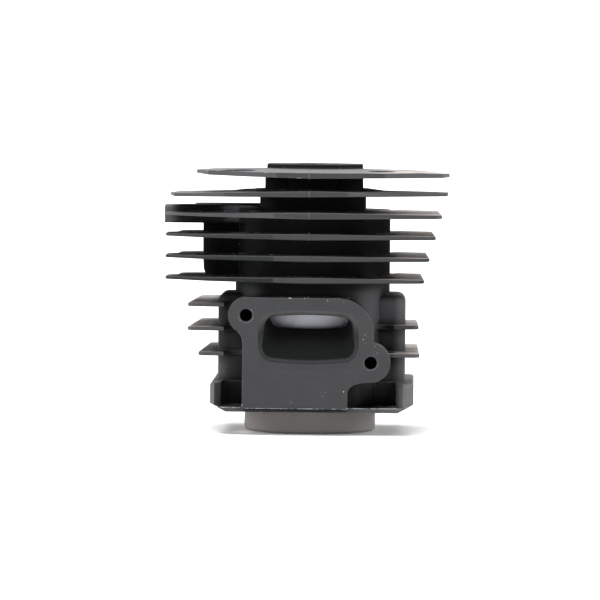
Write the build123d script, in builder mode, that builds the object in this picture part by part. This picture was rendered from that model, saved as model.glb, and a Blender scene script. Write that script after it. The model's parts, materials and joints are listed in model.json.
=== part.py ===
from build123d import *
from math import sqrt
import os

os.makedirs("parts", exist_ok=True)

# Air-cooled two-stroke cylinder with its head cast in one piece, and the piston set that runs in it.
# Millimetres. +Z runs up the bore, the origin is on the bore axis at the crankcase gasket plane,
# the exhaust side faces -Y and the intake side faces +Y.

# --- driving dimensions ---------------------------------------------------------------------------
BORE_R = 26.0               # finished bore, 52 mm
PLATING = 0.25              # thickness of the hard bore layer
STROKE = 34.0
CROWN_Z = 70.0              # edge of the piston crown at top dead centre
DECK_Z = 71.3               # squish band of the combustion chamber
CHAMBER_R = 19.5            # rim of the domed chamber above the squish band
CHAMBER_RIM = 72.0
CHAMBER_TOP = 86.0
SPIGOT_R = 28.5             # skirt that locates in the crankcase
SPIGOT_DROP = 10.0
CAST_X = 0.8                # the outside of the casting sits this far right of the bore axis
CORE_R = 33.6               # outside of the barrel

BASE_X = 1.5                # middle of the base
BASE_HALF_X = 43.7
BASE_HALF_Y = 38.0
BASE_TOP = 12.2
BASE_LIP = 2.0              # floor left under the base screws
SCREW_X = 31.0              # base screws, and the tool holes above them
SCREW_Y = 25.0
SCREW_R = 3.4
SEAT_R = 6.5                # spot face round a base screw
POCKET_INNER_X = 16.7       # pockets of the base that clear the screws
POCKET_OUTER_X = 37.6
POCKET_FLARE = 3.6          # the outer wall of a pocket flares out by this much at the front
POCKET_BACK_Y = 18.5
TOOL_LEFT_R = 7.5           # holes through the fins for the key of the base screws
TOOL_RIGHT_R = 6.3

COLUMN_HALF_X = 40.6        # transfer housings on both sides of the barrel
COLUMN_HALF_Y = 17.0
COLUMN_TOP = 50.0

FIN_FRONT = -44.0
FIN_BACK = 24.0
FIN_REAR = 40.0             # fins reach this far behind the barrel, over the intake
FIN_TIP_X = 66.0            # where the tip thickness of a fin is measured
FIN_SWEEP_R = 30.0          # soft corners along the front of a fin

TAP_R = 2.7                 # M6 tapped holes of the two port flanges
PAD_FACE = 42.0             # exhaust gasket face, in front of the axis
PAD_THICK = 13.0
EXHAUST_HOLE_X = 26.75
EXHAUST_HOLE_HIGH = 41.65
EXHAUST_HOLE_LOW = 21.7
MOUTH_EDGE_R = 2.8          # rounding of the exhaust mouth
INTAKE_FACE = 46.0          # intake gasket face, behind the axis
INTAKE_HOLE_X = 24.0
INTAKE_Z = 19.0

PLUG_R = 6.35               # M14 spark plug thread
BOSS_TOP = 105.9

PISTON_R = 25.96
PISTON_HEIGHT = 40.0
PIN_Z = 48.0                # gudgeon pin at top dead centre
PIN_R = 6.0
RING_TOP_Z = 65.0
RING_SECOND_Z = 61.0
RING_HEIGHT = 1.5
GROOVE_R = 23.2
RING_PIN_ANGLES = (70, 110)


def cap_height(rim_radius, rise, distance):
    """Height of a spherical cap above its rim, at a distance from its axis."""
    sphere = (rim_radius**2 + rise**2) / (2 * rise)
    return sqrt(sphere**2 - distance**2) - (sphere - rise)


# --- fins -------------------------------------------------------------------------------------------
def is_sharp(corner, corners):
    """True for a corner of the plan that has not been rounded yet."""
    return any(abs(corner.X - x) + abs(corner.Y - y) < 0.01 for x, y in corners)


def fin(corners, level, middle_thick, tip_thick, radius=3.0, droop=0.0):
    """One cooling fin: a plate with the given plan, thickest at the die parting plane X = 0.

    Its left tip may droop below its level.
    """
    half = middle_thick / 2
    tip = tip_thick / 2
    with BuildPart() as plate:
        with BuildSketch(Plane.XY.offset(level - middle_thick)):
            with BuildLine():
                Polyline(*corners, close=True)
            make_face()
            swept = vertices().filter_by(lambda corner: corner.Y < -34 and abs(corner.X) < 46)
            if len(swept) > 0:
                fillet(swept, FIN_SWEEP_R)
            fillet(vertices().filter_by(lambda corner: is_sharp(corner, corners)), radius)
        extrude(amount=2 * middle_thick)
        with BuildSketch(Plane.XZ):
            with BuildLine():
                Polyline(
                    (-FIN_TIP_X, level - droop - tip),
                    (0, level - half),
                    (FIN_TIP_X, level - tip),
                    (FIN_TIP_X, level + tip),
                    (0, level + half),
                    (-FIN_TIP_X, level - droop + tip),
                    close=True,
                )
            make_face()
        extrude(amount=2 * FIN_TIP_X, both=True, mode=Mode.INTERSECT)
        rim = plate.faces().filter_by(Axis.Z, reverse=True)
        flat = rim.filter_by(lambda face: abs(face.normal_at().Z) < 0.1)
        fillet(flat.edges().filter_by(lambda edge: abs(edge.tangent_at(0.5).Z) < 0.5), 0.45)
    return plate.part


def barrel_fin_plan(right_tip):
    """Plan of a fin round the barrel. The left end is swept back and stepped."""
    return (
        (-6, FIN_FRONT),
        (right_tip, FIN_FRONT),
        (right_tip - 1.5, FIN_BACK),
        (38, FIN_BACK + 2),
        (26, FIN_REAR),
        (-26, FIN_REAR),
        (-40, 17),
        (-57.5, 16),
        (-58, -2),
        (-62.5, -5),
        (-62.5, -22),
        (-44, -35),
    )


TOP_FIN_PLAN = (
    (0, FIN_FRONT),
    (34, -42),
    (57, -31),
    (60, -16),
    (47, 22),
    (24, FIN_REAR),
    (-22, FIN_REAR),
    (-42, 26),
    (-50.5, 6),
    (-44, -24),
    (-26, -40),
)

SECOND_FIN_PLAN = (
    (0, FIN_FRONT),
    (30, -40),
    (59, -30),
    (59.5, -14),
    (32, -6),
    (24, 30),
    (-28, 30),
    (-34, -2),
    (-57, -5),
    (-60.5, -20),
    (-58, -38),
    (-30, -43),
)


def barrel_fins():
    """The five plates round the head and the barrel, from the second one down."""
    plates = [fin(SECOND_FIN_PLAN, 93.7, 2.6, 1.4, 1.8, 0.9)]
    plates.append(fin(barrel_fin_plan(56.8), 84.4, 2.9, 1.4))
    plates.append(fin(barrel_fin_plan(54.2), 75.3, 2.7, 1.2))
    plates.append(fin(barrel_fin_plan(51.6), 66.0, 2.6, 1.2))
    plates.append(fin(barrel_fin_plan(49.4), 56.7, 2.6, 1.2))
    return plates


def top_fin():
    """The highest fin. Its upper side rises towards the plug boss."""
    with BuildPart() as plate:
        with BuildSketch(Plane.XY.offset(99)):
            with BuildLine():
                Polyline(*TOP_FIN_PLAN, close=True)
            make_face()
            fillet(vertices().filter_by(lambda corner: corner.Y < -34 and corner.X < 40), FIN_SWEEP_R)
            fillet(vertices().filter_by(lambda corner: is_sharp(corner, TOP_FIN_PLAN)), 2.5)
        extrude(amount=8)
        with BuildSketch(Plane.XZ):
            with BuildLine():
                Polyline(
                    (-66, 101.6),
                    (0, 100.4),
                    (66, 100.9),
                    (66, 102.3),
                    (21, 103.8),
                    (-20, 103.8),
                    (-66, 102.4),
                    close=True,
                )
            make_face()
        extrude(amount=100, both=True, mode=Mode.INTERSECT)
        with BuildSketch(Plane.YZ):
            with BuildLine():
                Polyline(
                    (FIN_FRONT - 1, 99),
                    (FIN_FRONT - 1, 102.7),
                    (-10, 103.8),
                    (10, 103.8),
                    (FIN_REAR + 1, 102.2),
                    (FIN_REAR + 1, 99),
                    close=True,
                )
            make_face()
        extrude(amount=100, both=True, mode=Mode.INTERSECT)
    return plate.part


def side_fin(tip_x, back_x, front_y, back_y, level):
    """A fin on a transfer housing, from the middle of the casting out to tip_x."""
    side = 1 if tip_x > 0 else -1
    inner = 20 * side
    plan = ((inner, front_y), (tip_x, front_y), (back_x, back_y), (inner, back_y))
    return fin(plan, level, 2.4, 1.4, 2.5)


def side_fins():
    return [
        side_fin(-52.4, -49.6, -30, 42, 45.5),
        side_fin(-52.4, -49.6, -30, 42, 35.2),
        side_fin(-47.7, -45.4, -30, 42, 24.4),
        side_fin(47.2, 46.2, -22, 29, 36.0),
        side_fin(47.6, 46.6, -34, 42, 24.5),
    ]


# --- port passages ------------------------------------------------------------------------------------
def port_section(plane, half_width, low, high, arch, radius):
    """Section of a port on the given plane: upright sides, top and bottom slightly arched."""
    with BuildSketch(plane) as section:
        with BuildLine():
            ThreePointArc((-half_width, low + arch), (0, low), (half_width, low + arch))
            Line((half_width, low + arch), (half_width, high - arch))
            ThreePointArc((half_width, high - arch), (0, high), (-half_width, high - arch))
            Line((-half_width, high - arch), (-half_width, low + arch))
        make_face()
        fillet(vertices(), radius)
    return section.sketch


def exhaust_passage():
    """Falls from its window in the bore to the gasket face in front."""
    mouth = port_section(Plane.XZ.offset(PAD_FACE + 1), 20.0, 20.3, 39.3, 1.6, 4.3)
    window = port_section(Plane.XZ.offset(BORE_R + 4), 17.0, 35.4, 46.8, 0.6, 4.0)
    with BuildPart() as passage:
        loft([mouth.face(), window.face()])
        extrude(window, amount=-16)
    return passage.part


def intake_passage():
    """Runs level from the gasket face behind to a wide window low in the bore."""
    mouth = port_section(Plane.XZ.offset(-INTAKE_FACE - 1), 14.0, INTAKE_Z - 8.5, INTAKE_Z + 8.5, 0.8, 6.0)
    window = port_section(Plane.XZ.offset(-BORE_R + 4), 16.0, INTAKE_Z - 6.5, INTAKE_Z + 6.5, 0.4, 4.0)
    with BuildPart() as passage:
        loft([mouth.face(), window.face()])
        extrude(window, amount=8)
    return passage.part


def transfer_passage(side):
    """A channel up a housing from the crankcase face, turning in to its window in the bore."""
    channel_x = side * 34.2
    with BuildPart() as passage:
        with BuildSketch(Plane.XY.offset(-1)):
            with Locations((channel_x, 0)):
                RectangleRounded(7.2, 25, 3)
        extrude(amount=47)
        with BuildSketch(Plane.YZ.offset(side * 20)):
            with Locations((0, 40.6)):
                RectangleRounded(20, 9.2, 2)
        extrude(amount=side * 15)
    return passage.part


PASSAGES = [exhaust_passage(), intake_passage(), transfer_passage(1), transfer_passage(-1)]


# --- cylinder casting ---------------------------------------------------------------------------------
def exhaust_flange():
    """Gasket pad with a diagonal pair of ears, standing on a foot that reaches the base."""
    with BuildPart() as flange:
        with BuildSketch(Plane.XZ.offset(PAD_FACE)) as pad:
            with BuildLine():
                Polyline(
                    (-28.2, 12.3),
                    (15, 11.5),
                    (25.6, 13.5),
                    (27.9, 20),
                    (27.9, 49.3),
                    (-28.2, 49.3),
                    close=True,
                )
            make_face()
            fillet(vertices().sort_by_distance((27.9, 49.3))[0], 15)
            with Locations((-EXHAUST_HOLE_X, EXHAUST_HOLE_HIGH)):
                Circle(7.7)
            with Locations((EXHAUST_HOLE_X, EXHAUST_HOLE_LOW)):
                Circle(8.4)
            with Locations(((-28.2 + 16.8) / 2, 7.5)):
                Rectangle(16.8 + 28.2, 11.5)
            fillet(vertices().sort_by_distance((-28.2, 34.1))[0], 7)
            fillet(vertices().sort_by_distance((27.9, 30.0))[0], 1.6)
            fillet(vertices().sort_by_distance((16.8, 11.8))[0], 5)
            fillet(vertices().sort_by_distance((25.2, 13.4))[0], 3)
        extrude(amount=-PAD_THICK)
        with BuildSketch(Plane.XZ.offset(PAD_FACE - 5)):
            with Locations((0, 31.5)):
                RectangleRounded(49, 33, 8)
            with Locations((-5.7, 9)):
                Rectangle(38, 14.6)
        extrude(amount=-(PAD_FACE - 13))
    return flange.part


def intake_flange():
    """Oval gasket pad behind the barrel."""
    with BuildPart() as flange:
        with BuildSketch(Plane.XZ.offset(-INTAKE_FACE)):
            with Locations((0, INTAKE_Z)):
                SlotCenterToCenter(2 * INTAKE_HOLE_X, 15)
                RectangleRounded(38, 27, 8)
        extrude(amount=10)
        with BuildSketch(Plane.XZ.offset(-INTAKE_FACE + 4)):
            with Locations((0, INTAKE_Z)):
                RectangleRounded(38, 26, 8)
        extrude(amount=INTAKE_FACE - 16)
    return flange.part


def base_flange():
    """Foot of the casting. Pockets open to the front and the back clear the base screws."""
    with BuildPart() as base:
        with BuildSketch():
            with Locations((BASE_X, 0)):
                Rectangle(2 * BASE_HALF_X, 2 * BASE_HALF_Y)
            chamfer(vertices(), 3)
        extrude(amount=BASE_TOP)
        long_edges = base.edges().filter_by(Axis.Y).group_by(Axis.Z)
        chamfer(long_edges[0], length=3.6, length2=6.8)
        fillet(long_edges[-1], 0.9)
        with BuildSketch(Plane.XY.offset(BASE_LIP)):
            with BuildLine():
                Polyline(
                    (POCKET_INNER_X, POCKET_BACK_Y),
                    (POCKET_OUTER_X, POCKET_BACK_Y),
                    (POCKET_OUTER_X, BASE_HALF_Y - 8),
                    (POCKET_OUTER_X + POCKET_FLARE, BASE_HALF_Y + 1),
                    (POCKET_INNER_X, BASE_HALF_Y + 1),
                    close=True,
                )
            make_face()
            fillet(vertices().sort_by_distance((POCKET_OUTER_X, POCKET_BACK_Y))[0], 3)
            mirror(about=Plane.XZ)
            mirror(about=Plane.YZ)
            with GridLocations(2 * SCREW_X, 2 * SCREW_Y, 2, 2):
                Circle(SEAT_R)
        extrude(amount=BASE_TOP, mode=Mode.SUBTRACT)
    return base.part


def transfer_housings():
    with BuildPart() as housings:
        with BuildSketch():
            with Locations((CAST_X, 0)):
                RectangleRounded(2 * COLUMN_HALF_X, 2 * COLUMN_HALF_Y, 5)
        extrude(amount=COLUMN_TOP)
        fillet(housings.faces().sort_by(Axis.Z)[-1].edges(), 3.8)
    return housings.part


def plug_boss():
    """Faceted boss with the spark plug seat, and the stem below it down to the chamber roof."""
    front = ((-19.4, -2), (-12, -9), (0, -11), (12, -9), (22.2, -2))
    back = ((22.2, 10), (12, 19), (-12, 19), (-19.4, 10))
    with BuildPart() as boss:
        with BuildSketch(Plane.XY.offset(102)):
            with BuildLine():
                Polyline(*front, *back, close=True)
            make_face()
        extrude(amount=BOSS_TOP - 102)
        chamfer(boss.faces().sort_by(Axis.Z)[-1].edges(), 0.4)
        with BuildSketch(Plane.XY.offset(93)):
            with Locations((1.2, 2)):
                RectangleRounded(42.2, 42, 7)
        extrude(amount=10)
        with BuildSketch(Plane.XY.offset(82)):
            with Locations((0.8, 2)):
                RectangleRounded(45.6, 48, 8)
        extrude(amount=12)
        with BuildSketch(Plane.XY.offset(94)):
            with Locations((0.8, -8)):
                Circle(14)
        with BuildSketch(Plane.XY.offset(101.5)):
            with Locations((0.8, -8)):
                Circle(16)
        loft()
    return boss.part


def side_lug():
    """Thick lug at the left end of the third fin, on a boss that ties the fins together."""
    with BuildPart() as lug:
        with BuildSketch(Plane.YZ.offset(-63)):
            with Locations((-8, 84.1)):
                RectangleRounded(22, 7.7, 1.4)
        extrude(amount=46)
        with BuildSketch(Plane.YZ.offset(-50.5)):
            with Locations((6, 84.1)):
                RectangleRounded(20, 8.2, 2)
        extrude(amount=34)
    return lug.part


def fin_tie():
    """Block that ties the fins together under the lug. Its outer end is rounded top and bottom."""
    with BuildPart() as tie:
        with BuildSketch(Plane.XZ):
            with BuildLine():
                Polyline(
                    (-10, 57.6),
                    (-45.4, 57.6),
                    (-46.5, 60),
                    (-46.9, 66),
                    (-46.9, 80.6),
                    (-45.6, 81.8),
                    (-10, 81.8),
                    close=True,
                )
            make_face()
        extrude(amount=11, both=True)
        with BuildSketch(Plane.XY.offset(57)):
            with Locations((-26.9, 0)):
                RectangleRounded(40, 22, 6)
        extrude(amount=26, mode=Mode.INTERSECT)
    return tie.part


NIBS = (                    # level, half height and half width
    (101.6, 1.7, 0.5),
    (93.7, 1.8, 0.5),
    (84.4, 1.8, 0.4),
    (75.6, 2.1, 0.9),
    (66.0, 1.6, 0.35),
)


def parting_nibs():
    """Small flash nibs where the two dies met on the front edge of each fin."""
    with BuildPart() as nibs:
        for level, height, width in NIBS:
            with BuildSketch(Plane.XZ.offset(-FIN_FRONT + 0.25)):
                with BuildLine():
                    Polyline(
                        (-width, level),
                        (0, level - height),
                        (width / 2, level),
                        (0, level + height),
                        close=True,
                    )
                make_face()
            extrude(amount=-1.2)
    return nibs.part


def fin_pack():
    """All fins, with the tool holes that reach down to the base screws."""
    with BuildPart() as pack:
        for plate in [top_fin()] + barrel_fins() + side_fins():
            add(plate)
        add(parting_nibs())
        with BuildSketch():
            with Locations((-SCREW_X, -SCREW_Y), (-SCREW_X, SCREW_Y)):
                Circle(TOOL_LEFT_R)
            with Locations((SCREW_X, -SCREW_Y), (SCREW_X, SCREW_Y)):
                Circle(TOOL_RIGHT_R)
        extrude(amount=BOSS_TOP, mode=Mode.SUBTRACT)
    return pack.part


def make_casting():
    chamber_middle = cap_height(CHAMBER_R, CHAMBER_TOP - CHAMBER_RIM, CHAMBER_R / 2)
    with BuildPart() as casting:
        with BuildSketch(Plane.XY.offset(-SPIGOT_DROP)):
            Circle(SPIGOT_R)
        extrude(amount=SPIGOT_DROP + 2)
        chamfer(casting.edges().sort_by(Axis.Z)[0], 0.9)
        with BuildSketch():
            with Locations((CAST_X, 0)):
                Circle(CORE_R)
        extrude(amount=84)
        add(base_flange())
        add(transfer_housings())
        add(plug_boss())
        add(side_lug())
        add(fin_tie())
        add(exhaust_flange())
        add(intake_flange())
        add(fin_pack())
        # bore, squish band and domed chamber
        with BuildSketch(Plane.XZ):
            with BuildLine():
                Polyline(
                    (0, -SPIGOT_DROP - 1),
                    (BORE_R + PLATING, -SPIGOT_DROP - 1),
                    (BORE_R + PLATING, DECK_Z),
                    (CHAMBER_R, CHAMBER_RIM),
                )
                ThreePointArc(
                    (CHAMBER_R, CHAMBER_RIM),
                    (CHAMBER_R / 2, CHAMBER_RIM + chamber_middle),
                    (0, CHAMBER_TOP),
                )
                Line((0, CHAMBER_TOP), (0, -SPIGOT_DROP - 1))
            make_face()
        revolve(axis=Axis.Z, mode=Mode.SUBTRACT)
        for passage in PASSAGES:
            add(passage, mode=Mode.SUBTRACT)
        face_edges = casting.edges().filter_by(lambda edge: abs(edge.center().Y + PAD_FACE) < 0.01)
        mouth = face_edges.filter_by(lambda edge: abs(edge.center().X) < 21 and 18 < edge.center().Z < 42)
        fillet(mouth, MOUTH_EDGE_R)
        # spark plug hole
        with Locations((0, 0, BOSS_TOP)):
            CounterSinkHole(PLUG_R, PLUG_R + 0.8, depth=BOSS_TOP - CHAMBER_TOP + 2, counter_sink_angle=90)
        # base screw holes
        with BuildSketch():
            with GridLocations(2 * SCREW_X, 2 * SCREW_Y, 2, 2):
                Circle(SCREW_R)
        extrude(amount=BASE_TOP, mode=Mode.SUBTRACT)
        # tapped flange holes
        for x, z in ((-EXHAUST_HOLE_X, EXHAUST_HOLE_HIGH), (EXHAUST_HOLE_X, EXHAUST_HOLE_LOW)):
            with Locations(Plane.XZ.offset(PAD_FACE)):
                with Locations((x, z)):
                    CounterSinkHole(TAP_R, TAP_R + 0.6, depth=11, counter_sink_angle=90)
        for x in (-INTAKE_HOLE_X, INTAKE_HOLE_X):
            with Locations(Plane(origin=(x, INTAKE_FACE, INTAKE_Z), z_dir=(0, 1, 0))):
                CounterSinkHole(TAP_R, TAP_R + 0.6, depth=9, counter_sink_angle=90)
        # tapped hole in the end of the side lug
        with Locations(Plane(origin=(-63, -8, 84.1), z_dir=(-1, 0, 0))):
            CounterSinkHole(2.2, 2.7, depth=14, counter_sink_angle=90)
    return casting


cylinder_casting = make_casting()
cylinder_casting.part.label = "cylinder_casting"
export_step(cylinder_casting.part, "parts/cylinder_casting.step")


# --- bore layer ---------------------------------------------------------------------------------------
with BuildPart() as bore_plating:
    with BuildSketch(Plane.XY.offset(-SPIGOT_DROP + 0.6)):
        Circle(BORE_R + PLATING)
        Circle(BORE_R, mode=Mode.SUBTRACT)
    extrude(amount=DECK_Z + SPIGOT_DROP - 0.6)
    for passage in PASSAGES:
        add(passage, mode=Mode.SUBTRACT)
bore_plating.part.label = "bore_plating"
export_step(bore_plating.part, "parts/bore_plating.step")


# --- piston, at top dead centre -----------------------------------------------------------------------
RING_LEVELS = (RING_TOP_Z, RING_SECOND_Z)
SKIRT_Z = CROWN_Z - PISTON_HEIGHT
CLIP_X = 20.6
CLIP_WIRE_R = 0.55
PIN_HALF = 19.7
CROWN_R = PISTON_R - 0.5
CROWN_RISE = 1.0
crown_middle = cap_height(CROWN_R, CROWN_RISE, CROWN_R / 2)

with BuildPart() as piston:
    with BuildSketch(Plane.XZ):
        with BuildLine():
            Polyline((0, SKIRT_Z), (PISTON_R, SKIRT_Z), (PISTON_R, CROWN_Z - 0.5), (CROWN_R, CROWN_Z))
            ThreePointArc(
                (CROWN_R, CROWN_Z),
                (CROWN_R / 2, CROWN_Z + crown_middle),
                (0, CROWN_Z + CROWN_RISE),
            )
            Line((0, CROWN_Z + CROWN_RISE), (0, SKIRT_Z))
        make_face()
    revolve(axis=Axis.Z)
    # hollow underside, with two bosses left for the gudgeon pin
    with BuildSketch(Plane.XY.offset(SKIRT_Z)) as hollow:
        Circle(PISTON_R - 3)
        with Locations((-19, 0), (19, 0)):
            RectangleRounded(16, 20, 3, mode=Mode.SUBTRACT)
    extrude(amount=24, mode=Mode.SUBTRACT)
    with BuildSketch(Plane.XY.offset(SKIRT_Z + 24)):
        Circle(PISTON_R - 3.5)
    extrude(amount=8, taper=12, mode=Mode.SUBTRACT)
    # the skirt is cut away under the bosses
    with BuildSketch(Plane.YZ.offset(-40)):
        with Locations((0, SKIRT_Z)):
            RectangleRounded(24, 17, 6)
    extrude(amount=80, mode=Mode.SUBTRACT)
    # ring grooves
    for level in RING_LEVELS:
        with BuildSketch(Plane.XY.offset(level)):
            Circle(PISTON_R + 1)
            Circle(GROOVE_R, mode=Mode.SUBTRACT)
        extrude(amount=RING_HEIGHT, mode=Mode.SUBTRACT)
    # ring pin holes
    for level, angle in zip(RING_LEVELS, RING_PIN_ANGLES):
        with Locations(Plane(origin=(0, 0, level + RING_HEIGHT / 2)).rotated((0, 0, angle))):
            with Locations((GROOVE_R, 0, 0)):
                Cylinder(0.55, 4, rotation=(0, 90, 0), mode=Mode.SUBTRACT)
    # gudgeon pin bore with its circlip grooves
    with Locations((0, 0, PIN_Z)):
        Cylinder(PIN_R + 0.02, 60, rotation=(0, 90, 0), mode=Mode.SUBTRACT)
        for x in (-CLIP_X, CLIP_X):
            with Locations((x, 0, 0)):
                Cylinder(PIN_R + 0.6, 2 * CLIP_WIRE_R + 0.1, rotation=(0, 90, 0), mode=Mode.SUBTRACT)
piston.part.label = "piston"
export_step(piston.part, "parts/piston.step")


def piston_ring(level, angle):
    """Sprung ring in its groove. Its gap stands at the ring pin."""
    with BuildPart() as ring:
        with BuildSketch(Plane.XY.offset(level + 0.02)):
            Circle(BORE_R - 0.02)
            Circle(BORE_R - 2.3, mode=Mode.SUBTRACT)
        extrude(amount=RING_HEIGHT - 0.04)
        with Locations(Plane(origin=(0, 0, level)).rotated((0, 0, angle))):
            with Locations((BORE_R, 0, 0)):
                Box(8, 1.5, 4, mode=Mode.SUBTRACT)
    return ring


def ring_pin(level, angle):
    """Pressed into the groove floor, it stops the ring from turning its gap into a port."""
    with BuildPart() as peg:
        with Locations(Plane(origin=(0, 0, level + RING_HEIGHT / 2)).rotated((0, 0, angle))):
            with Locations((GROOVE_R, 0, 0)):
                Cylinder(0.55, 4, rotation=(0, 90, 0))
        fillet(peg.edges().filter_by(GeomType.CIRCLE), 0.12)
    return peg


for ring_name, level, angle in zip(("top", "second"), RING_LEVELS, RING_PIN_ANGLES):
    ring = piston_ring(level, angle)
    ring.part.label = "ring_" + ring_name
    export_step(ring.part, "parts/" + ring.part.label + ".step")
    peg = ring_pin(level, angle)
    peg.part.label = "ring_pin_" + ring_name
    export_step(peg.part, "parts/" + peg.part.label + ".step")


# --- gudgeon pin and its circlips ---------------------------------------------------------------------
with BuildPart() as gudgeon_pin:
    with BuildSketch(Plane.YZ.offset(-PIN_HALF)):
        with Locations((0, PIN_Z)):
            Circle(PIN_R - 0.01)
            Circle(PIN_R - 2, mode=Mode.SUBTRACT)
    extrude(amount=2 * PIN_HALF)
    chamfer(gudgeon_pin.edges().filter_by(GeomType.CIRCLE), 0.4)
gudgeon_pin.part.label = "gudgeon_pin"
export_step(gudgeon_pin.part, "parts/gudgeon_pin.step")


def circlip(x):
    """Round wire clip, open at the bottom."""
    with BuildPart() as clip:
        with BuildSketch(Plane.XY.offset(PIN_Z)):
            with Locations((x, PIN_R)):
                Circle(CLIP_WIRE_R)
        revolve(axis=Axis((x, 0, PIN_Z), (1, 0, 0)), revolution_arc=300)
    return clip


for side_name, x in (("left", -CLIP_X), ("right", CLIP_X)):
    clip = circlip(x)
    clip.part.label = "circlip_" + side_name
    export_step(clip.part, "parts/" + clip.part.label + ".step")
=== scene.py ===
import json
import math
import bpy
from mathutils import Matrix, Vector


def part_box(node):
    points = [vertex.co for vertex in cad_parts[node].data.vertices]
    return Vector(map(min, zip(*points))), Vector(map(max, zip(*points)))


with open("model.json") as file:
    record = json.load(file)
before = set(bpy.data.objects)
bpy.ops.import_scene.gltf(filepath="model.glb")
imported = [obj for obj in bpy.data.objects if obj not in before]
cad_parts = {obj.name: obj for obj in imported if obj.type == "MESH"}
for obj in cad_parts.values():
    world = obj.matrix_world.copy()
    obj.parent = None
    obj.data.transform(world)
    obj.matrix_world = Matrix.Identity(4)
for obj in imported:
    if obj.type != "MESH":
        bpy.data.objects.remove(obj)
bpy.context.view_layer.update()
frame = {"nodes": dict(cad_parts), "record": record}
nodes = frame["nodes"]

# --- measures, in metres -------------------------------------------------------------------------
MM = 0.001
casting_low, casting_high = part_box("cylinder_casting")
mounts = {mount["name"]: mount for mount in frame["record"]["mounts"]}
EXHAUST_Y = mounts["exhaust_face"]["pos_m"][1]
INTAKE_Y = mounts["intake_face"]["pos_m"][1]
BORE_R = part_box("ring_top")[1].x
LUG_Z = mounts["side_lug_hole"]["pos_m"][2]
BASE_TOP = 12.3 * MM          # the base flange ends just below this
HOUSING_TOP = 50 * MM         # the transfer housings end here and the barrel fins start above
HOUSING_X = 40 * MM           # their outer sides
THIRD_FIN_Z = 82 * MM         # just below the third barrel fin
TOP_FIN_Z = 101 * MM
EDGE_SAMPLES = 6

# the camera: a long lens, a little above the part and to the right of its middle
VIEW_DISTANCE = 2.1
VIEW_DOWN = math.radians(2.8)
VIEW_RIGHT = math.radians(1.4)
VIEW_ROLL = math.radians(0.5)
VIEW_AIM = Vector((-0.0047, 0.0, 0.0464))
LENS_MM = 289.0
SENSOR_MM = 36.0


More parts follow.
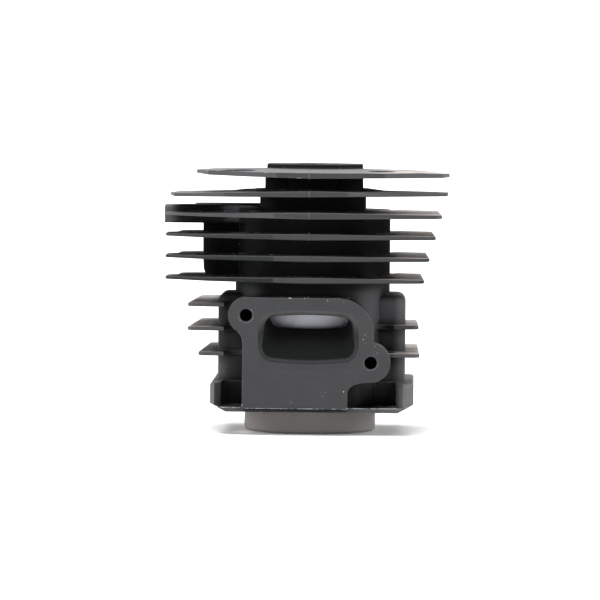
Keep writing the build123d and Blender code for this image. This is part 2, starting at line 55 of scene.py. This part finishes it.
# --- shader helpers ------------------------------------------------------------------------------
class Shader:
    """A node material under construction. Every method adds a node and returns its output socket."""

    def __init__(self, name):
        self.material = bpy.data.materials.new(name)
        self.material.use_nodes = True
        self.tree = self.material.node_tree
        self.bsdf = self.tree.nodes["Principled BSDF"]
        self.place = self.add("ShaderNodeTexCoord").outputs["Object"]
        self.normal = self.add("ShaderNodeNewGeometry").outputs["Normal"]
        split = self.add("ShaderNodeSeparateXYZ")
        self.wire(self.place, split.inputs[0])
        self.x, self.y, self.z = split.outputs
        facing = self.add("ShaderNodeSeparateXYZ")
        self.wire(self.normal, facing.inputs[0])
        self.facing_x, self.facing_y, self.facing_z = facing.outputs

    def add(self, kind):
        return self.tree.nodes.new(kind)

    def wire(self, value, socket):
        if isinstance(value, bpy.types.NodeSocket):
            self.tree.links.new(value, socket)
        else:
            socket.default_value = value

    def math(self, operation, first, second=0.0, third=0.0):
        node = self.add("ShaderNodeMath")
        node.operation = operation
        for socket, value in zip(node.inputs, (first, second, third)):
            self.wire(value, socket)
        return node.outputs[0]

    def ramp(self, value, low, high, out_low=0.0, out_high=1.0):
        node = self.add("ShaderNodeMapRange")
        node.interpolation_type = "SMOOTHSTEP"
        for socket, number in zip(node.inputs, (value, low, high, out_low, out_high)):
            self.wire(number, socket)
        return node.outputs[0]

    def product(self, *values):
        result = values[0]
        for value in values[1:]:
            result = self.math("MULTIPLY", result, value)
        return result

    def largest(self, *values):
        result = values[0]
        for value in values[1:]:
            result = self.math("MAXIMUM", result, value)
        return result

    def without(self, value):
        return self.math("SUBTRACT", 1.0, value)

    def scaled(self, x, y, z):
        node = self.add("ShaderNodeMapping")
        self.wire(self.place, node.inputs["Vector"])
        node.inputs["Scale"].default_value = (x, y, z)
        return node.outputs[0]

    def noise(self, size, detail=3.0, rough=0.5, place=None):
        """Noise whose features are about size metres across."""
        node = self.add("ShaderNodeTexNoise")
        self.wire(self.place if place is None else place, node.inputs["Vector"])
        node.inputs["Scale"].default_value = 1 / size
        node.inputs["Detail"].default_value = detail
        node.inputs["Roughness"].default_value = rough
        return node.outputs["Fac"]

    def mix(self, amount, first, second):
        node = self.add("ShaderNodeMix")
        node.data_type = "RGBA"
        self.wire(amount, node.inputs["Factor"])
        self.wire(first, node.inputs[6])
        self.wire(second, node.inputs[7])
        return node.outputs[2]

    def blend(self, amount, first, second):
        node = self.add("ShaderNodeMix")
        self.wire(amount, node.inputs["Factor"])
        self.wire(first, node.inputs[2])
        self.wire(second, node.inputs[3])
        return node.outputs[0]

    def edge(self, radius, low, high):
        """1 on a convex or concave edge and 0 away from it."""
        rounded = self.add("ShaderNodeBevel")
        rounded.samples = EDGE_SAMPLES
        rounded.inputs["Radius"].default_value = radius
        dot = self.add("ShaderNodeVectorMath")
        dot.operation = "DOT_PRODUCT"
        self.wire(rounded.outputs[0], dot.inputs[0])
        self.wire(self.normal, dot.inputs[1])
        return self.ramp(dot.outputs["Value"], high, low)

    def bump(self, height, distance, strength=1.0, under=None):
        node = self.add("ShaderNodeBump")
        node.inputs["Distance"].default_value = distance
        node.inputs["Strength"].default_value = strength
        self.wire(height, node.inputs["Height"])
        if under is not None:
            self.wire(under, node.inputs["Normal"])
        return node.outputs[0]

    def occlusion(self, reach):
        """1 deep in a recess and 0 in the open."""
        node = self.add("ShaderNodeAmbientOcclusion")
        node.samples = EDGE_SAMPLES
        node.inputs["Distance"].default_value = reach
        return self.ramp(node.outputs["AO"], 0.80, 0.42)

    def round_edges(self, radius):
        node = self.add("ShaderNodeBevel")
        node.samples = EDGE_SAMPLES
        node.inputs["Radius"].default_value = radius
        return node.outputs[0]

    def band(self, value, low, high, soft):
        """1 where value lies between low and high."""
        above = self.ramp(value, low - soft, low)
        below = self.ramp(value, high + soft, high)
        return self.math("MINIMUM", above, below)

    def finish(self, color, metallic, roughness, normal):
        self.wire(color, self.bsdf.inputs["Base Color"])
        self.wire(metallic, self.bsdf.inputs["Metallic"])
        self.wire(roughness, self.bsdf.inputs["Roughness"])
        self.wire(normal, self.bsdf.inputs["Normal"])
        return self.material


# --- materials -----------------------------------------------------------------------------------
def upward_sheen(s, coat):
    """Painted sheen on upward faces, lighter and brownish, in streaks that run outwards along the fins:
    the colour and its mask.
    """
    streaked = s.ramp(s.noise(1.0, 3.0, 0.6, s.scaled(35, 210, 90)), 0.30, 0.66)
    upward = s.ramp(s.facing_z, 0.7, 0.97)
    side_fins = s.product(
        s.ramp(s.x, -HOUSING_X, -HOUSING_X - 4 * MM),
        s.ramp(s.z, HOUSING_TOP + 2 * MM, HOUSING_TOP - 1 * MM),
        0.7,
    )
    sheen_mask = s.product(upward, s.largest(s.ramp(s.x, 22 * MM, 44 * MM), side_fins))
    # painted sheen: upward faces made lighter and brownish, as if they caught the bright room
    sheen_color = s.mix(streaked, (0.140, 0.121, 0.113, 1), (0.370, 0.318, 0.300, 1))
    coat = s.mix(s.product(upward, streaked, 0.35), coat, (0.095, 0.080, 0.074, 1))
    return s.mix(sheen_mask, coat, sheen_color), sheen_mask


def painted_low_fin_shade(s):
    """Painted shade on the fronts of the lower barrel fins, darker towards the bottom."""
    return s.product(
        s.ramp(s.z, THIRD_FIN_Z, 56 * MM, 0.60, 0.95),
        s.ramp(s.z, THIRD_FIN_Z, THIRD_FIN_Z - 2 * MM),
        s.ramp(s.z, HOUSING_TOP, HOUSING_TOP + 4 * MM),
        s.ramp(s.facing_z, 0.7, 0.3),
        s.ramp(s.facing_y, -0.2, -0.7),
    )


def boss_top(s):
    return s.ramp(s.z, casting_high.z - 1.7 * MM, casting_high.z - 1.4 * MM)


def lit_lug_end(s):
    """Outer end of the side lug, which gets painted light from the side."""
    return s.product(
        s.ramp(s.x, -56 * MM, -61.5 * MM),
        s.band(s.z, LUG_Z - 5 * MM, LUG_Z + 5 * MM, 0.5 * MM),
    )


def lit_base_flanks(s):
    """The outer sides of the base flange, which get painted light from the side."""
    return s.product(
        s.ramp(s.z, BASE_TOP + 0.3 * MM, BASE_TOP),
        s.ramp(s.math("ABSOLUTE", s.x), 36.9 * MM, 38.2 * MM),
        s.ramp(s.z, 0.0, 3 * MM),
    )


def gasket_faces(s):
    """The exhaust and the intake face, which are cut flat."""
    front = s.product(
        s.ramp(s.facing_y, -0.9, -0.99),
        s.ramp(s.y, EXHAUST_Y + 0.3 * MM, EXHAUST_Y + 0.1 * MM),
    )
    back = s.product(
        s.ramp(s.facing_y, 0.9, 0.99),
        s.ramp(s.y, INTAKE_Y - 0.3 * MM, INTAKE_Y - 0.1 * MM),
    )
    return s.largest(front, back)


def soot_and_shade(s):
    """Soot and painted shade inside the exhaust passage, nearer to the mouth along its floor."""
    start = s.ramp(s.z, 29 * MM, 39 * MM, -0.2 * MM, 3.0 * MM)
    depth = s.math("SUBTRACT", s.math("SUBTRACT", s.y, EXHAUST_Y), start)
    return s.product(
        s.ramp(depth, 0.0, 1.6 * MM),
        s.ramp(s.y, -BORE_R + 2.5 * MM, -BORE_R + 1 * MM),
        s.band(s.x, -20.8 * MM, 20.8 * MM, 0.4 * MM),
        s.band(s.z, 19 * MM, 44 * MM, 0.5 * MM),
    )


def mouth_rounding(s):
    """The rounded edge of the exhaust mouth."""
    return s.product(
        s.band(s.y, EXHAUST_Y + 0.12 * MM, EXHAUST_Y + 4.5 * MM, 0.1 * MM),
        s.band(s.x, -23 * MM, 23 * MM, 0.3 * MM),
        s.band(s.z, 18.5 * MM, 42.5 * MM, 0.3 * MM),
    )


def barrel_wall(s):
    """Front of the barrel and of the block that ties the fins together, between the fins, where shade is
    painted.
    """
    from_axis = s.math("SQRT", s.math("ADD", s.product(s.x, s.x), s.product(s.y, s.y)))
    wall = s.ramp(from_axis, 37 * MM, 35.5 * MM)
    tie = s.product(
        s.band(s.x, -47.5 * MM, -30 * MM, 0.5 * MM),
        s.ramp(s.math("ABSOLUTE", s.y), 14 * MM, 12.8 * MM),
    )
    return s.product(
        s.largest(wall, tie),
        s.ramp(s.z, HOUSING_TOP + 2 * MM, HOUSING_TOP + 6 * MM),
        s.ramp(s.z, TOP_FIN_Z, TOP_FIN_Z - 2 * MM),
        s.ramp(s.y, 0.0, -4 * MM),
        s.ramp(s.math("ABSOLUTE", s.facing_z), 0.6, 0.3),
    )


def painted_recess_shade(s, machined, sheen_mask):
    """Painted shade in the recesses, away from the cut faces, the faces with painted light and the
    painted sheen.
    """
    housing_sides = s.product(
        s.ramp(s.math("ABSOLUTE", s.x), HOUSING_X - 5 * MM, HOUSING_X),
        s.ramp(s.z, HOUSING_TOP + 1 * MM, HOUSING_TOP - 1 * MM),
        0.6,
    )
    left_unshaded = s.largest(machined, lit_base_flanks(s), lit_lug_end(s), housing_sides, s.product(sheen_mask, 0.9))
    recessed = s.largest(s.occlusion(16 * MM), s.product(barrel_wall(s), 0.9))
    return s.product(recessed, s.without(left_unshaded))


def worn_coat(s, coat, edge, unworn):
    """Coat rubbed thin along edges, and nearly through along the front sill of the base."""
    patchy = s.ramp(s.noise(6 * MM, 3.0), 0.35, 0.62, 0.15, 1.0)
    rubbed = s.product(edge, patchy, s.product(s.without(unworn), 0.5))
    coat = s.mix(rubbed, coat, (0.130, 0.130, 0.136, 1))
    sill = s.product(
        s.band(s.z, 0.9 * MM, 2.3 * MM, 0.3 * MM),
        s.ramp(s.y, -36 * MM, -37.5 * MM),
        s.ramp(s.noise(2.2 * MM, 3.0, 0.7), 0.42, 0.58),
    )
    return s.mix(s.product(sill, edge), coat, (0.60, 0.60, 0.62, 1))


def casting_coat(s, blotch, cloud, streak):
    """The unworn casting: its colour, and masks of the machined faces, the gasket faces and the painted
    sheen.
    """
    coat = s.mix(blotch, (0.042, 0.043, 0.046, 1), (0.068, 0.068, 0.072, 1))
    # painted sheen on the upward faces of the fins
    coat, sheen_mask = upward_sheen(s, coat)
    # painted shade on the fronts of the lower fins
    coat = s.mix(painted_low_fin_shade(s), coat, (0.008, 0.010, 0.010, 1))
    # the top boss is dark, with painted highlights along the edges of its facets
    boss_edge_highlight = s.edge(0.22 * MM, 0.965, 0.998)
    boss_color_and_highlight = s.mix(boss_edge_highlight, (0.007, 0.007, 0.008, 1), (0.100, 0.100, 0.104, 1))
    coat = s.mix(boss_top(s), coat, boss_color_and_highlight)
    # painted light on the outer end of the side lug
    coat = s.mix(lit_lug_end(s), coat, (0.072, 0.071, 0.074, 1))
    # painted light on the outer sides of the base flange
    flank_painted_light = s.mix(blotch, (0.066, 0.066, 0.069, 1), (0.112, 0.111, 0.116, 1))
    coat = s.mix(lit_base_flanks(s), coat, flank_painted_light)

    # faint cutter lines on the gasket faces, turning lines round the spigot below the base
    cut = gasket_faces(s)
    cut_color = s.mix(cloud, (0.023, 0.024, 0.026, 1), (0.038, 0.038, 0.039, 1))
    cut_color = s.mix(s.product(streak, 0.35), cut_color, (0.056, 0.056, 0.059, 1))
    coat = s.mix(cut, coat, cut_color)
    spigot = s.ramp(s.z, 0.0, -0.2 * MM)
    turning = s.noise(1.0, 2.0, 0.5, s.scaled(40, 40, 3000))
    turned_tone = s.blend(turning, cloud, blotch)
    spigot_color = s.mix(turned_tone, (0.150, 0.138, 0.131, 1), (0.212, 0.196, 0.187, 1))
    return s.mix(spigot, coat, spigot_color), s.largest(cut, spigot), cut, sheen_mask


def casting_material():
    """Dark coat over die-cast aluminium, with plain machined faces and bare metal on worn edges."""
    s = Shader("coated_casting")
    blotch = s.noise(16 * MM, 4.0, 0.6)
    cloud = s.noise(11 * MM, 4.0, 0.65)
    grain = s.noise(0.6 * MM, 3.0, 0.65)
    streak = s.noise(1.0, 3.0, 0.6, s.scaled(60, 60, 2600))
    coat, machined, cut, sheen_mask = casting_coat(s, blotch, cloud, streak)

    # soot and painted shade inside the exhaust passage; the rounded edge of its mouth has soot below and
    # painted light from the floor above, brownish
    soot_and_shade_mask = soot_and_shade(s)
    # near-black: soot and painted shade
    coat = s.mix(soot_and_shade_mask, coat, (0.0030, 0.0036, 0.0036, 1))
    # the rounded edge of the mouth: soot below, painted light from the floor above, brownish
    mouth_color = s.mix(s.ramp(s.z, 33 * MM, 41 * MM), (0.010, 0.011, 0.011, 1), (0.052, 0.047, 0.045, 1))
    coat = s.mix(s.product(mouth_rounding(s), s.without(soot_and_shade_mask)), coat, mouth_color)
    # painted shade in the recesses and on the barrel between the fins
    recess_shade_mask = painted_recess_shade(s, machined, sheen_mask)
    coat = s.mix(recess_shade_mask, coat, (0.0035, 0.0038, 0.0038, 1))

    # worn edges, and a few chips and dents down to bare metal
    edge = s.edge(0.5 * MM, 0.88, 0.995)
    coat = worn_coat(s, coat, edge, s.largest(soot_and_shade_mask, boss_top(s)))
    spots = s.ramp(s.noise(1.3 * MM, 2.0, 0.7), 0.61, 0.65)
    chips = s.product(edge, spots, s.ramp(s.noise(13 * MM, 1.0), 0.48, 0.56))
    pits = s.ramp(s.noise(0.8 * MM, 1.0, 0.5), 0.765, 0.79)
    dents = s.product(machined, pits, s.ramp(cloud, 0.53, 0.62))
    color = s.mix(s.largest(chips, dents), coat, (0.66, 0.66, 0.67, 1))

    roughness = s.blend(cut, s.blend(grain, 0.40, 0.60), s.blend(streak, 0.36, 0.50))
    roughness = s.blend(s.largest(soot_and_shade_mask, recess_shade_mask), roughness, 0.9)
    s.bsdf.inputs["Specular IOR Level"].default_value = 0.12
    cast_texture = s.math("ADD", grain, s.product(s.noise(2.6 * MM, 2.0), 0.9))
    texture = s.blend(machined, cast_texture, s.product(streak, 0.3))
    normal = s.bump(texture, 0.11 * MM, 0.7, s.round_edges(0.45 * MM))
    return s.finish(color, s.product(chips, 0.8), roughness, normal)


def honed_height(s, slope):
    """Height of one set of honing scratches, which climb the bore wall at the given slope."""
    angle = s.math("ARCTAN2", s.y, s.x)
    around = s.math("MULTIPLY", angle, BORE_R)
    across = s.math("ADD", s.z, s.math("MULTIPLY", around, slope))
    join = s.add("ShaderNodeCombineXYZ")
    s.wire(s.math("MULTIPLY", across, 5200.0), join.inputs[0])
    s.wire(s.math("MULTIPLY", around, 60.0), join.inputs[1])
    return s.noise(1.0, 2.0, 0.6, join.outputs[0])


def bore_material():
    """Hard bore layer with its honed cross-hatch."""
    s = Shader("honed_bore_layer")
    hatch = s.math("MINIMUM", honed_height(s, 0.55), honed_height(s, -0.55))
    color = s.mix(hatch, (0.50, 0.51, 0.56, 1), (0.72, 0.73, 0.79, 1))
    return s.finish(color, 1.0, s.blend(hatch, 0.42, 0.26), s.bump(hatch, 0.02 * MM, 0.5))


def piston_material():
    """Turned aluminium: fine rings round the skirt, plainer on the crown, and painted light on the sides
    of the skirt.
    """
    s = Shader("turned_piston")
    rings = s.noise(1.0, 2.0, 0.5, s.scaled(20, 20, 4200))
    haze = s.noise(9 * MM, 3.0)
    skirt_side_light = s.ramp(s.math("ABSOLUTE", s.x), 4 * MM, 15 * MM)
    color = s.mix(haze, (0.38, 0.39, 0.44, 1), (0.50, 0.51, 0.57, 1))
    # painted light: the sides of the skirt made nearly white
    color = s.mix(skirt_side_light, color, (0.92, 0.94, 1.0, 1))
    color = s.mix(s.math("MULTIPLY", rings, 0.25), color, (0.34, 0.35, 0.39, 1))
    normal = s.bump(rings, 0.03 * MM, 0.5, s.round_edges(0.2 * MM))
    return s.finish(color, 0.30, s.blend(haze, 0.42, 0.55), normal)


def steel_material(name, dark, light, rough):
    """Ground steel or iron with fine lines along X and a little uneven tone."""
    s = Shader(name)
    lines = s.noise(1.0, 2.0, 0.5, s.scaled(150, 3800, 3800))
    color = s.mix(s.noise(5 * MM, 3.0), (*dark, 1), (*light, 1))
    normal = s.bump(lines, 0.015 * MM, 0.4, s.round_edges(0.15 * MM))
    return s.finish(color, 1.0, s.blend(lines, rough, rough + 0.14), normal)


def dress(node_name, material):
    node = nodes[node_name]
    node.data.materials.clear()
    node.data.materials.append(material)


dress("cylinder_casting", casting_material())
dress("bore_plating", bore_material())
dress("piston", piston_material())
ring_iron = steel_material("ring_iron", (0.20, 0.20, 0.22), (0.30, 0.30, 0.32), 0.34)
ground_steel = steel_material("ground_steel", (0.52, 0.52, 0.54), (0.66, 0.66, 0.68), 0.20)
for ring_name in ("ring_top", "ring_second"):
    dress(ring_name, ring_iron)
for steel_name in ("gudgeon_pin", "circlip_left", "circlip_right", "ring_pin_top", "ring_pin_second"):
    dress(steel_name, ground_steel)


# --- floor, light and camera ---------------------------------------------------------------------
def studio_floor():
    """A pale floor that curves up far behind the part."""
    front, back, side, wall, sweep = -3.0, 2.2, 4.0, 3.0, 0.8
    floor_z = casting_low.z - 0.1 * MM
    steps = 12
    profile = [(front, floor_z)]
    for step in range(steps + 1):
        turn = math.radians(90) * step / steps
        profile.append((back + sweep * math.sin(turn), floor_z + sweep * (1 - math.cos(turn))))
    profile.append((back + sweep, floor_z + wall))
    mesh = bpy.data.meshes.new("studio_floor")
    verts = [(x, y, z) for y, z in profile for x in (-side, side)]
    faces = [(2 * i, 2 * i + 1, 2 * i + 3, 2 * i + 2) for i in range(len(profile) - 1)]
    mesh.from_pydata(verts, [], faces)
    mesh.shade_smooth()
    floor = bpy.data.objects.new("studio_floor", mesh)
    bpy.context.scene.collection.objects.link(floor)
    s = Shader("pale_floor")
    tone = s.mix(s.noise(0.4, 2.0), (0.90, 0.90, 0.90, 1), (0.93, 0.93, 0.93, 1))
    floor.data.materials.append(s.finish(tone, 0.0, 0.8, s.normal))


def softbox(name, place, size, power, aim=(0, 0, 0.04)):
    light = bpy.data.lights.new(name, "AREA")
    light.shape = "RECTANGLE"
    light.size, light.size_y = size
    light.energy = power
    holder = bpy.data.objects.new(name, light)
    holder.location = place
    holder.rotation_euler = (Vector(aim) - Vector(place)).to_track_quat("-Z", "Y").to_euler()
    bpy.context.scene.collection.objects.link(holder)


def studio_light():
    softbox("key_above", (-0.25, -0.75, 1.35), (0.9, 0.7), 25.0)
    softbox("side_left", (-1.3, -0.5, 0.45), (0.6, 0.8), 16.0)
    softbox("side_right", (1.3, -0.5, 0.45), (0.6, 0.8), 16.0)
    softbox("floor_behind", (0.0, 1.9, 2.2), (3.0, 2.4), 90.0, (0, 1.9, 0))
    world = bpy.data.worlds.new("studio")
    world.use_nodes = True
    background = world.node_tree.nodes["Background"]
    background.inputs["Color"].default_value = (1.0, 1.0, 1.0, 1.0)
    # the room gives little light of its own, but is white where it is seen past the floor
    seen = world.node_tree.nodes.new("ShaderNodeLightPath").outputs["Is Camera Ray"]
    strength = world.node_tree.nodes.new("ShaderNodeMapRange")
    strength.inputs["To Min"].default_value = 0.3
    strength.inputs["To Max"].default_value = 1.0
    world.node_tree.links.new(seen, strength.inputs["Value"])
    world.node_tree.links.new(strength.outputs[0], background.inputs["Strength"])
    bpy.context.scene.world = world
    bpy.context.scene.view_settings.view_transform = "Standard"


def camera():
    lens = bpy.data.cameras.new("camera")
    lens.sensor_width = SENSOR_MM
    lens.lens = LENS_MM
    lens.clip_end = 50.0
    holder = bpy.data.objects.new("camera", lens)
    along = Vector((
        math.sin(VIEW_RIGHT) * math.cos(VIEW_DOWN),
        -math.cos(VIEW_RIGHT) * math.cos(VIEW_DOWN),
        math.sin(VIEW_DOWN),
    ))
    turn = (-along).to_track_quat("-Z", "Y").to_matrix() @ Matrix.Rotation(VIEW_ROLL, 3, "Z")
    holder.matrix_world = Matrix.Translation(VIEW_AIM + VIEW_DISTANCE * along) @ turn.to_4x4()
    bpy.context.scene.collection.objects.link(holder)
    bpy.context.scene.camera = holder


studio_floor()
studio_light()
camera()
